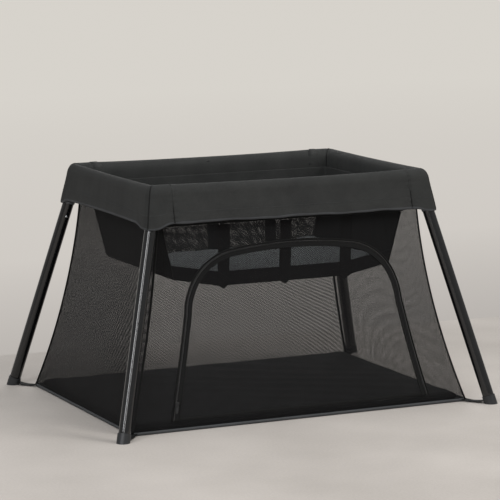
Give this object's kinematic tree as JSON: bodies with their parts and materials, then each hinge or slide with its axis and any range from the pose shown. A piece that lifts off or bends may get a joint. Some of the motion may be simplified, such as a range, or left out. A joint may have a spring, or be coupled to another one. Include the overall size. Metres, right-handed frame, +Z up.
{
  "type": "playpen",
  "caption": "Folding playpen with splayed tube legs, padded rim, mesh walls, an arched zipped door, a floor mat and a hanging bassinet.",
  "frame": {"origin": "on the floor under the middle of the pen", "axes": "+X along the long side towards the right end, +Y towards the back, +Z up; the zipped door is in the wall that faces -Y"},
  "size_m": [1.1372, 0.881, 0.65],
  "materials": {
    "leg_black": "gloss black paint",
    "moulded_black": "moulded",
    "foot_rubber": "moulded",
    "rail_metal": "drawn tube",
    "pin_steel": "turned",
    "button_red": "moulded",
    "cover_cloth": "woven, heathered",
    "mesh_cloth": "open knit mesh",
    "zip_tape": "woven tape with coil",
    "zip_metal": "die cast, painted",
    "floor_cloth": "woven, coated",
    "webbing": "woven webbing",
    "bassinet_cloth": "woven",
    "board": "hardboard",
    "pad_cloth": "brushed knit"
  },
  "bodies": {
    "left_end": {"bracket_front_left": "moulded_black", "bracket_back_left": "moulded_black", "pivot_pins_left": "pin_steel", "end_rail_left": "rail_metal", "cover_left": "cover_cloth", "cover_front": "cover_cloth", "cover_back": "cover_cloth", "wall_front": "mesh_cloth", "wall_back": "mesh_cloth", "wall_left": "mesh_cloth", "wall_right": "mesh_cloth", "zip_tape": "zip_tape", "floor_sheet": "floor_cloth", "play_mattress": "floor_cloth", "corner_straps": "webbing"},
    "right_end": {"bracket_front_right": "moulded_black", "bracket_back_right": "moulded_black", "pivot_pins_right": "pin_steel", "end_rail_right": "rail_metal", "cover_right": "cover_cloth"},
    "front_left_half": {"front_rail_left": "rail_metal", "rail_tongue_front_left": "moulded_black", "knuckle_front_left": "moulded_black", "hinge_pin_front": "pin_steel", "lock_spring_front": "pin_steel"},
    "front_right_half": {"front_rail_right": "rail_metal", "rail_tongue_front_right": "moulded_black", "knuckle_front_right": "moulded_black"},
    "front_lock": {"lock_button_front": "button_red"},
    "back_left_half": {"back_rail_left": "rail_metal", "rail_tongue_back_left": "moulded_black", "knuckle_back_left": "moulded_black", "hinge_pin_back": "pin_steel", "lock_spring_back": "pin_steel"},
    "back_right_half": {"back_rail_right": "rail_metal", "rail_tongue_back_right": "moulded_black", "knuckle_back_right": "moulded_black"},
    "back_lock": {"lock_button_back": "button_red"},
    "front_left_leg": {"leg_head_front_left": "moulded_black", "leg_tube_front_left": "leg_black", "foot_cap_front_left": "foot_rubber"},
    "back_left_leg": {"leg_head_back_left": "moulded_black", "leg_tube_back_left": "leg_black", "foot_cap_back_left": "foot_rubber"},
    "front_right_leg": {"leg_head_front_right": "moulded_black", "leg_tube_front_right": "leg_black", "foot_cap_front_right": "foot_rubber"},
    "back_right_leg": {"leg_head_back_right": "moulded_black", "leg_tube_back_right": "leg_black", "foot_cap_back_right": "foot_rubber"},
    "door": {"door_panel": "mesh_cloth"},
    "zip_slider_body": {"zip_slider": "zip_metal"},
    "zip_pull_body": {"zip_pull": "zip_metal"},
    "bassinet": {"bassinet_mesh": "mesh_cloth", "bassinet_base": "bassinet_cloth", "bassinet_ends": "bassinet_cloth", "bassinet_rim": "bassinet_cloth", "bassinet_board": "board", "bassinet_pad": "pad_cloth", "bassinet_webs": "webbing"}
  },
  "joints": [
    {"name": "fold", "type": "hinge", "parent": "left_end", "child": "front_left_half", "pos_m": [-0.362, -0.268, 0.62], "axis": [0, 1, 0], "range_deg": [0, 84], "deforming": ["cover_left", "cover_front", "cover_back", "cover_right", "wall_front", "wall_back", "wall_left", "wall_right", "zip_tape", "floor_sheet", "play_mattress", "corner_straps", "bassinet_mesh", "bassinet_base", "bassinet_ends", "bassinet_rim", "bassinet_board", "bassinet_pad", "bassinet_webs", "zip_slider", "zip_pull"]},
    {"name": "front_middle_hinge", "type": "hinge", "parent": "front_left_half", "child": "front_right_half", "pos_m": [0, -0.268, 0.6315], "axis": [0, -1, 0], "range_deg": [0, 168]},
    {"name": "front_right_pivot", "type": "hinge", "parent": "front_right_half", "child": "right_end", "pos_m": [0.362, -0.268, 0.62], "axis": [0, 1, 0], "range_deg": [0, 84]},
    {"name": "back_left_pivot", "type": "hinge", "parent": "left_end", "child": "back_left_half", "pos_m": [-0.362, 0.268, 0.62], "axis": [0, 1, 0], "range_deg": [0, 84]},
    {"name": "back_middle_hinge", "type": "hinge", "parent": "back_left_half", "child": "back_right_half", "pos_m": [0, 0.268, 0.6315], "axis": [0, -1, 0], "range_deg": [0, 168]},
    {"name": "front_left_leg_swing", "type": "hinge", "parent": "left_end", "child": "front_left_leg", "pos_m": [-0.398, -0.285, 0.606], "axis": [0, -1, 0], "range_deg": [0, 14.08]},
    {"name": "back_left_leg_swing", "type": "hinge", "parent": "left_end", "child": "back_left_leg", "pos_m": [-0.398, 0.285, 0.606], "axis": [0, -1, 0], "range_deg": [0, 14.08]},
    {"name": "front_right_leg_swing", "type": "hinge", "parent": "right_end", "child": "front_right_leg", "pos_m": [0.398, -0.285, 0.606], "axis": [0, 1, 0], "range_deg": [0, 14.08]},
    {"name": "back_right_leg_swing", "type": "hinge", "parent": "right_end", "child": "back_right_leg", "pos_m": [0.398, 0.285, 0.606], "axis": [0, 1, 0], "range_deg": [0, 14.08]},
    {"name": "front_lock_press", "type": "slide", "parent": "front_left_half", "child": "front_lock", "axis": [0, 0, 1], "range_m": [0, 0.004], "stiffness_N_per_m": 600, "springref_m": -0.004, "deforming": ["lock_spring_front"]},
    {"name": "back_lock_press", "type": "slide", "parent": "back_left_half", "child": "back_lock", "axis": [0, 0, 1], "range_m": [0, 0.004], "stiffness_N_per_m": 600, "springref_m": -0.004, "deforming": ["lock_spring_back"]},
    {"name": "door_drop", "type": "hinge", "parent": "left_end", "child": "door", "pos_m": [0, -0.3607, 0.0284], "axis": [1, 0, 0], "range_deg": [0, 98], "deforming": ["door_panel"]},
    {"name": "zip_run", "type": "slide", "parent": "left_end", "child": "zip_slider_body", "axis": [0.1998, 0.1455, 0.969], "range_m": [0, 0.2]},
    {"name": "pull_flip", "type": "hinge", "parent": "zip_slider_body", "child": "zip_pull_body", "pos_m": [-0.36875, -0.36128, 0.07435], "axis": [-0.9798, 0.0297, 0.1976], "range_deg": [0, 120]},
    {"name": "bassinet_lift", "type": "slide", "parent": "left_end", "child": "bassinet", "axis": [0, 0, 1], "range_m": [0, 0.3]}
  ],
  "couplings": [
    {"joint": "front_middle_hinge", "follows": "fold", "ratio": 2},
    {"joint": "front_right_pivot", "follows": "fold", "ratio": 1},
    {"joint": "back_left_pivot", "follows": "fold", "ratio": 1},
    {"joint": "back_middle_hinge", "follows": "fold", "ratio": 2},
    {"joint": "front_left_leg_swing", "follows": "fold", "ratio": 0.16763},
    {"joint": "back_left_leg_swing", "follows": "fold", "ratio": 0.16763},
    {"joint": "front_right_leg_swing", "follows": "fold", "ratio": 0.16763},
    {"joint": "back_right_leg_swing", "follows": "fold", "ratio": 0.16763}
  ]
}
